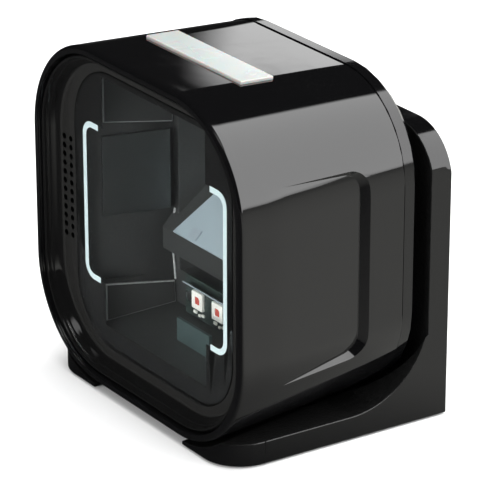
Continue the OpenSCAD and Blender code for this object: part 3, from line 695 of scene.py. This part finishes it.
def set_light():
    """White backdrop to the camera, even light on matt surfaces, and panels in glossy ones."""
    middle = (0, 0, 0.07)
    softbox("overhead", (0.05, 0.1, 2.2), middle, 2.0, 2.0, 62)
    softbox("front_fill", around(14, 15, 1.8), middle, 0.8, 0.6, 24)
    world = bpy.data.worlds.new("studio")
    bpy.context.scene.world = world
    world.use_nodes = True
    tree = world.node_tree
    panels = BETWEEN_PANELS
    for spec in PANELS:
        panels = plus(tree, panel(tree, *spec), panels)
    path = add(tree, "LightPath").outputs
    diffuse = times(tree, path["Is Diffuse Ray"], DIFFUSE_LEVEL)
    white = plus(tree, path["Is Camera Ray"], diffuse, use_clamp=True)
    background = tree.nodes["Background"]
    tree.links.new(blend(tree, white, panels, 1.0), background.inputs["Strength"])
    background.inputs["Color"].default_value = (1, 1, 1, 1)
    bpy.context.scene.view_settings.view_transform = "Standard"


set_camera()
set_stage()
set_light()

# ---------------------------------------------------------------- housing

GRIP_START, GRIP_END = FRONT + 23 * MM, FRONT + 66 * MM
GRIP_HALF, GRIP_DEEP, GRIP_R = 42.5 * MM, 3.4 * MM, 5 * MM
GRIP_Z = MID_Z + 1 * MM
GRIP_SLOPE, GRIP_RIM = 1.05, 0.45 * MM
GRIP_LEAD, GRIP_REACH, GRIP_RISE = 12 * MM, 14 * MM, 10 * MM
LIP_R, LIP_SQUASH = 2.4 * MM, 0.8
BAR_SEAT = Vector((1.4, 1.3, 0)) * MM


def grip_tool(side, grow):
    """Cutter of one finger recess: its walls slope, and its floor sinks evenly under the head's surface."""
    front, rear = GRIP_START - GRIP_LEAD, GRIP_END + grow
    outer = section(GRIP_END)[0] / 2
    bm = bmesh.new()
    rings = []
    for out in (-GRIP_REACH, GRIP_RISE):
        slope = (out - GRIP_DEEP / 2) * GRIP_SLOPE
        radius = max(GRIP_R + slope + grow, 0.3 * MM)
        rings.append(ring(bm, out, 2 * (rear - front + slope), 2 * (GRIP_HALF + grow + slope), radius, 0, 12))
    fill(bm, rings)
    put = Matrix.Translation((side * (outer - GRIP_DEEP / 2), front, GRIP_Z))
    turn = Matrix.Rotation(-side * math.pi / 2, 4, "Z")
    bmesh.ops.transform(bm, matrix=put @ turn, verts=bm.verts)
    sink = GRIP_DEEP / (GRIP_END - GRIP_START)
    before, after = 30 * MM, 4 * MM
    floor = [(GRIP_START - before, grow - sink * before),
             (GRIP_END + after, grow + GRIP_DEEP + sink * after)]
    return carve(bm, head_shape(floor))


def on_rim(point):
    """Whether a place is on the outer rim of a finger recess."""
    along = GRIP_START - 2 * MM < point.y < GRIP_END + 4 * MM
    inside = abs(point.z - GRIP_Z) < GRIP_HALF + 4 * MM
    return along and inside and abs(point.x) > section(point.y)[0] / 2 - 0.15 * MM


def outer_profile():
    """Depth and inset of the head's outer skin, from its round lip to the seam with the rear cover."""
    lip = [(FRONT + LIP_R * (1 - math.cos(a)) * LIP_SQUASH, LIP_R * (1 - math.sin(a)))
           for a in [math.radians(d) for d in range(0, 91, 15)]]
    easing = [(FRONT + 5 * MM, 0.05 * MM), (FRONT + 9 * MM, 0.02 * MM)]
    skin = [(FRONT + y * MM, 0) for y in (14, 26, 40, 54, 68)]
    seam = [(SHELL_END - 0.6 * MM, 0), (SHELL_END - 0.15 * MM, 0.15 * MM), (SHELL_END, 0.6 * MM)]
    return lip + easing + skin + seam


def inner_profile():
    """Depth and inset of the hollow, with a step that holds the bezel."""
    step = [(-2, 3.4), (0.2, 3.4), (1.2, 3.7), (3.0, 3.7)]
    bore = [(FRONT + 4.2 * MM, WALL), (SHELL_END + 2 * MM, WALL)]
    return [(FRONT + y * MM, i * MM) for y, i in step] + bore


def make_housing():
    hollow = head_shape(inner_profile())
    for side in (-1, 1):
        hollow = carve(hollow, grip_tool(side, WALL))
    shell = carve(head_shape(outer_profile()), hollow)
    for side in (-1, 1):
        shell = carve(shell, grip_tool(side, 0))
    low, high = BAR_LOW + BAR_SEAT, BAR_HIGH - BAR_SEAT
    shell = carve(shell, block((low.x, low.y, high.z - 12 * MM), (high.x, high.y, high.z + 5 * MM)))
    bmesh.ops.remove_doubles(shell, verts=shell.verts, dist=1e-6)
    ease(shell, GRIP_RIM, 18, on_rim)
    return shell


finish_piece(make_housing(), "housing", HOUSING, "head", ["housing_shell"], crease=30)

# ---------------------------------------------------------------- bezel, window and printed marks

BEZEL_W, BEZEL_H = BEZEL_HIGH.x - BEZEL_LOW.x, BEZEL_HIGH.z - BEZEL_LOW.z
BEZEL_R = 42.1 * MM
SOUND_ROWS, SOUND_PITCH, SOUND_COL, SOUND_R = 12, 4 * MM, 4.8 * MM, 1.3 * MM
SOUND_MIDDLE = (SPEAKER_LOW + SPEAKER_HIGH) / 2 + Vector((1, 0, 0)) * MM

# depth behind the bezel's front and inset from its outline, in mm
BEZEL_STEPS = [(2.4, 0), (1.0, 0.15), (0.3, 0.5), (0, 1.0), (0.1, 1.5), (0.5, 1.9), (2.2, 2.1), (2.6, 2.3),
               (2.7, 2.8), (3.2, 3.2), (4.6, 3.6), (5.8, 4.1), (6.7, 4.9), (7.1, 5.6), (7.25, 6.4)]


def glass_ring(bm, y, grow, steps=CORNER_STEPS):
    """Ring of the window's own outline, grown by a margin."""
    return ring(bm, y, GLASS_W + 2 * grow, GLASS_H + 2 * grow, GLASS_R + grow, steps=steps)


def make_bezel():
    """Rings that step down from the lip to the flat flank round the glass."""
    bm = bmesh.new()
    steps = [(BEZEL_HIGH.y, 0)] + [(BEZEL_LOW.y + y * MM, i * MM) for y, i in BEZEL_STEPS]
    rings = [ring(bm, y, BEZEL_W - 2 * i, BEZEL_H - 2 * i, BEZEL_R - i) for y, i in steps]
    seat = GLASS_LOW.y + 0.1 * MM
    ledge = GLASS_HIGH.y + 0.8 * MM
    gap, chamfer, lap = 0.35 * MM, 0.6 * MM, 3 * MM
    for y, grow in ((seat, gap + chamfer), (seat + 0.25 * MM, gap), (ledge, gap), (ledge, -lap),
                    (BEZEL_HIGH.y, -lap)):
        rings.append(glass_ring(bm, y, grow))
    loft(bm, rings, True)
    tidy(bm)
    for row in range(SOUND_ROWS):
        for col in (-0.5, 0.5):
            at = (SOUND_MIDDLE.x + col * SOUND_COL, GLASS_LOW.y + 2 * MM,
                  SOUND_MIDDLE.z + (row - (SOUND_ROWS - 1) / 2) * SOUND_PITCH)
            bm = carve(bm, rod(at, 16 * MM, SOUND_R, SOUND_R, 20))
    return bm


def mark_bezel(bm):
    """Gives the flank round the glass the second material, and the walls of the sound holes the third, a
    near-black painted shade.
    """
    reach = SOUND_COL / 2 + 1.1 * SOUND_R
    for face in bm.faces:
        spot = face.calc_center_median()
        depth = spot.y - BEZEL_LOW.y
        if 5 * MM < depth < 9 * MM and face.normal.y < -0.8:
            face.material_index = 1
        if depth > 7 * MM and abs(spot.x - SOUND_MIDDLE.x) < reach and abs(face.normal.y) < 0.5:
            face.material_index = 2
    return bm


bezel = finish_piece(mark_bezel(make_bezel()), "bezel", BEZEL, "head", ["front_bezel"],
                     crease=40)
bezel.data.materials.append(FLANK)
bezel.data.materials.append(HOLE_SHADE)


def make_window():
    """Glass plate with eased rims; its ground edge carries the second material, which blackens it."""
    bm = bmesh.new()
    front, rear = GLASS_LOW.y, GLASS_HIGH.y
    rim, round_off = 0.1 * MM, 0.03 * MM
    profile = [(front, rim), (front + round_off, round_off), (front + rim, 0),
               (rear - rim, 0), (rear - round_off, round_off), (rear, rim)]
    fill(bm, [glass_ring(bm, y, -inset, 24) for y, inset in profile])
    for face in bm.faces:
        face.material_index = int(abs(face.normal.y) < 0.9)
    return bm


window = finish_piece(make_window(), "window", GLASS, "head", ["scan_window"])
window.data.materials.append(MASK)
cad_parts["window_mask"].data.materials[0] = MASK
finish_piece(cad_copy("window_gasket", 0.1 * MM), "gasket", RUBBER, "head", ["window_gasket"])

BRACKET_X, BRACKET_HALF, BRACKET_ARM, BRACKET_LINE = 51.3 * MM, 34.5 * MM, 10.5 * MM, 2.6 * MM
BRACKET_R, BRACKET_RISE = 5.5 * MM, 0.8 * MM
INK_THICK, INK_GAP = 0.04 * MM, 0.06 * MM


def make_bracket(side):
    """Square bracket with round corners, printed behind the glass."""
    y = MASK_LOW.y - INK_GAP
    z = MID_Z + BRACKET_RISE
    end = BRACKET_X - BRACKET_ARM
    path = [(end, BRACKET_HALF), (BRACKET_X, BRACKET_HALF), (BRACKET_X, -BRACKET_HALF), (end, -BRACKET_HALF)]
    bm = bmesh.new()
    verts = [bm.verts.new((side * across, y, z + up)) for across, up in path]
    for pair in zip(verts, verts[1:]):
        bm.edges.new(pair)
    bmesh.ops.bevel(bm, geom=verts[1:3], offset=BRACKET_R, offset_type="OFFSET", segments=10, profile=0.5,
                    affect="VERTICES", clamp_overlap=False, material=-1)
    line = list(bm.verts)
    middle = {v: v.co.copy() for v in line}
    heart = Vector((side * (BRACKET_X - 20 * MM), y, z))
    outward = {}
    for v in line:
        near = [e.other_vert(v).co for e in v.link_edges]
        run = (near[0] - near[1]) if len(near) == 2 else (near[0] - v.co)
        outward[v] = Vector((run.z, 0, -run.x)).normalized()
        if outward[v].dot(v.co - heart) < 0:
            outward[v].negate()
    made = bmesh.ops.extrude_edge_only(bm, edges=list(bm.edges))
    twins = [g for g in made["geom"] if isinstance(g, bmesh.types.BMVert)]
    for old in line:
        twin = min(twins, key=lambda v: (v.co - middle[old]).length)
        twins.remove(twin)
        twin.co = middle[old] + outward[old] * BRACKET_LINE / 2
        old.co = middle[old] - outward[old] * BRACKET_LINE / 2
    bmesh.ops.solidify(bm, geom=list(bm.faces), thickness=INK_THICK)
    tidy(bm)
    return bm


for side, word in ((-1, "left"), (1, "right")):
    finish_piece(make_bracket(side), "bracket_" + word, INK, "head", crease=60, weigh=False)

# ---------------------------------------------------------------- pieces with their CAD shape, edges eased

finish_piece(cad_copy("light_bar", 0.5 * MM, steps=3), "light_bar_lens", LENS, "head",
             ["light_bar"])

# CAD node, name, material, slot and width of the eased edge in mm
HEAD_PIECES = [
    ("rear_cover", "cover", COVER, "cover_satin", 0.25),
    ("optical_chassis", "chassis", CHASSIS, "chassis_black", 0.35),
    ("main_mirror", "fold_mirror", MIRROR, "mirror_glass", 0.12),
    ("left_mirror", "mirror_left", SIDE_MIRROR, "mirror_glass", 0.12),
    ("right_mirror", "mirror_right", SIDE_MIRROR, "mirror_glass", 0.12),
    ("lower_mirror", "mirror_low", DARK_MIRROR, "mirror_dark", 0.15),
    ("mirror_clips", "clips", CLIP, "steel_bright", 0.1),
    ("indicator_board", "indicator_pcb", BOARD, "board_green", 0.1),
    ("indicator_leds", "indicator_lamps", CERAMIC, "led_white", 0.1),
    ("camera_board", "camera_pcb", BOARD, "board_green", 0.1),
    ("image_sensor", "sensor_chip", CHIP, "sensor_dark", 0.1),
    ("lens_holder", "camera_holder", CHASSIS, "chassis_black", 0.3),
    ("lens_barrel", "camera_barrel", CHASSIS, "chassis_black", 0.2),
    ("lens_glass", "camera_lens", DARK_MIRROR, "mirror_dark", 0.1),
    ("camera_screws", "camera_fixings", STEEL, "steel_bright", 0.12),
    ("led_board", "lighting_pcb", DARK_BOARD, "board_green", 0.1),
    ("led_reflector", "reflector", FOIL, "reflector_silver", 0.08),
    ("led_screws", "lighting_fixings", STEEL, "steel_bright", 0.15),
    ("main_board", "main_pcb", BOARD, "board_green", 0.1),
    ("board_screws", "board_fixings", STEEL, "steel_bright", 0.15),
    ("processor_shield", "shield_can", STEEL, "steel_bright", 0.3),
    ("interface_socket", "socket_body", SOCKET, "socket_black", 0.2),
    ("usb_socket", "usb_shell", STEEL, "steel_bright", 0.2),
    ("flex_cable", "flat_cable", FILM, "flex_amber", 0.05),
    ("speaker", "speaker_can", CHIP, "sensor_dark", 0.4),
    ("speaker_gasket", "speaker_seal", RUBBER, "seal_rubber", 0.1),
    ("button_switch", "tact_switch", CHIP, "sensor_dark", 0.15),
    ("knuckle_screws", "knuckle_fixings", STEEL, "steel_bright", 0.15),
    ("hinge_knuckle", "knuckle", ZINC, "hinge_zinc", 0.3),
    ("friction_washers", "washers", BRONZE, "washer_brass", 0.1),
    ("cover_screws", "cover_fixings", BLACK_STEEL, "screw_black", 0.2),
]
STAND_PIECES = [
    ("base_plate", "ballast", STEEL, "plate_steel", 0.2),
    ("base_screws", "base_fixings", STEEL, "steel_bright", 0.15),
    ("rubber_feet", "foot_pads", RUBBER, "seal_rubber", 0.3),
    ("stop_pads", "stops", RUBBER, "seal_rubber", 0.4),
    ("hinge_bracket", "bracket_cast", ZINC, "hinge_zinc", 0.3),
    ("hinge_screws", "bracket_fixings", STEEL, "steel_bright", 0.15),
    ("hinge_pin", "pin", STEEL, "steel_bright", 0.3),
]


def refine(pieces, body, steps):
    for node, name, material, slot, edge in pieces:
        finish_piece(cad_copy(node, edge * MM, steps=steps), name, material, body, [node])


refine(HEAD_PIECES, "head", 2)
refine(STAND_PIECES, "stand", 3)
finish_piece(cad_copy("stand_frame", 0.5 * MM, 35, 3, False), "stand_moulded", STAND, "stand",
             ["stand_frame"])
finish_piece(cad_copy("volume_button", 0.5 * MM, steps=3), "push_button", BUTTON, "button",
             ["volume_button"])

# ---------------------------------------------------------------- lighting board detail

LAMPS, LAMP_PITCH, LAMP_HALF = 4, 15 * MM, 3.9 * MM
LAMP_Z = (LEDS_LOW.z + LEDS_HIGH.z) / 2
LAMP_ROW = (LAMPS - 1) * LAMP_PITCH + 2 * LAMP_HALF
LAMP_X = [(LEDS_LOW.x + LEDS_HIGH.x - LAMP_ROW) / 2 + LAMP_HALF + i * LAMP_PITCH for i in range(LAMPS)]
WELL_DEEP, WELL_FRONT_R, WELL_REAR_R = 1.0 * MM, 2.4 * MM, 2.0 * MM
DIE_HALF_W, DIE_HALF_H = 1.4 * MM, 1.6 * MM
DIE_FRONT, DIE_REAR = 0.1 * MM, 0.48 * MM

# place from the lamp's middle, width and height of the small parts under each lamp, in mm
CAPACITORS = [(-2.6, -6.1, 2.2, 1.3), (0.6, -6.9, 1.5, 1.1), (3.2, -6.2, 1.8, 1.2)]


def make_lamp(x):
    """White package with a sunk window."""
    low, high = (x - LAMP_HALF, LEDS_LOW.y, LEDS_LOW.z), (x + LAMP_HALF, LEDS_HIGH.y, LEDS_HIGH.z)
    body = block(low, high, 0.35 * MM)
    return carve(body, rod((x, LEDS_LOW.y, LAMP_Z), WELL_DEEP, WELL_FRONT_R, WELL_REAR_R, 32))


def make_die(x):
    """Light-giving chip in a lamp's window."""
    return block((x - DIE_HALF_W, LEDS_LOW.y + DIE_FRONT, LAMP_Z - DIE_HALF_H),
                 (x + DIE_HALF_W, LEDS_LOW.y + DIE_REAR, LAMP_Z + DIE_HALF_H), 0.15 * MM)


def make_capacitor(x, across, up, width, height):
    low = Vector((x + (across - width / 2) * MM, BOARD_LOW.y - 0.8 * MM, LAMP_Z + (up - height / 2) * MM))
    return block(low, low + Vector((width, 0.8, height)) * MM, 0.15 * MM)


finish_piece(join(*[make_lamp(x) for x in LAMP_X]), "lamp_packages", CERAMIC, "head",
             ["led_packages"])
finish_piece(join(*[make_die(x) for x in LAMP_X]), "lamp_dies", DIE, "head")

# ---------------------------------------------------------------- relief on the chassis side walls, with pale rims and ribs painted as highlights

FACET_X, FACET_THICK = 46.7 * MM, 1.4 * MM
RIB_X, RIB_R = 45.9 * MM, 0.55 * MM

# depth behind the head's front and height from its middle, in mm
LOWER_FACET = [(17, -55.8), (53, -55.8), (52.4, -45.5), (17, -38.5)]
UPPER_FACET = [(17, 35), (52, 28), (52.4, 40), (17, 56)]
RIB_PATH = [(53, -45), (51.5, -26), (53, -12)]


def wall_points(x, places):
    return [Vector((x, FRONT + t * MM, MID_Z + u * MM)) for t, u in places]


def facet(side, corners):
    """Thin moulded panel on a side wall of the chassis, with its rim painted pale as a highlight."""
    bm = bmesh.new()
    face = bm.faces.new([bm.verts.new(spot) for spot in wall_points(side * FACET_X, corners)])
    made = bmesh.ops.extrude_face_region(bm, geom=[face])["geom"]
    raised = [v for v in made if isinstance(v, bmesh.types.BMVert)]
    bmesh.ops.translate(bm, vec=(-side * FACET_THICK, 0, 0), verts=raised)
    bmesh.ops.recalc_face_normals(bm, faces=bm.faces)
    rim = [e for e in bm.edges if all(v in raised for v in e.verts)]
    cut = bmesh.ops.bevel(bm, geom=rim, offset=0.55 * MM, offset_type="OFFSET", segments=2, profile=0.5,
                          affect="EDGES", clamp_overlap=True, material=-1)
    # the bevelled rim takes the pale second material, a painted highlight
    for slope in cut["faces"]:
        slope.material_index = 1
    return bm


def rib(side):
    """Bent ridge on a side wall, from the mirror shelf to the lower facet."""
    bm = bmesh.new()
    points = wall_points(side * RIB_X, RIB_PATH)
    for first, second in zip(points, points[1:]):
        way = second - first
        turn = way.to_track_quat("Z", "Y").to_matrix().to_4x4()
        bmesh.ops.create_cone(bm, cap_ends=True, segments=10, radius1=RIB_R, radius2=RIB_R,
                              depth=way.length, matrix=Matrix.Translation((first + second) / 2) @ turn)
    return bm


for name, corners in (("lower", LOWER_FACET), ("upper", UPPER_FACET)):
    both = join(*[facet(side, corners) for side in (-1, 1)])
    panels = finish_piece(both, name + "_facets", FACET, "head", crease=20)
    panels.data.materials.append(FACET_HIGHLIGHT)
# the ribs are painted pale, as highlight lines along the walls
finish_piece(join(rib(-1), rib(1)), "painted_highlight_ribs", FACET_HIGHLIGHT, "head")

capacitors = join(*[make_capacitor(x, *size) for x in LAMP_X for size in CAPACITORS])
finish_piece(capacitors, "lighting_capacitors", CERAMIC, "head")
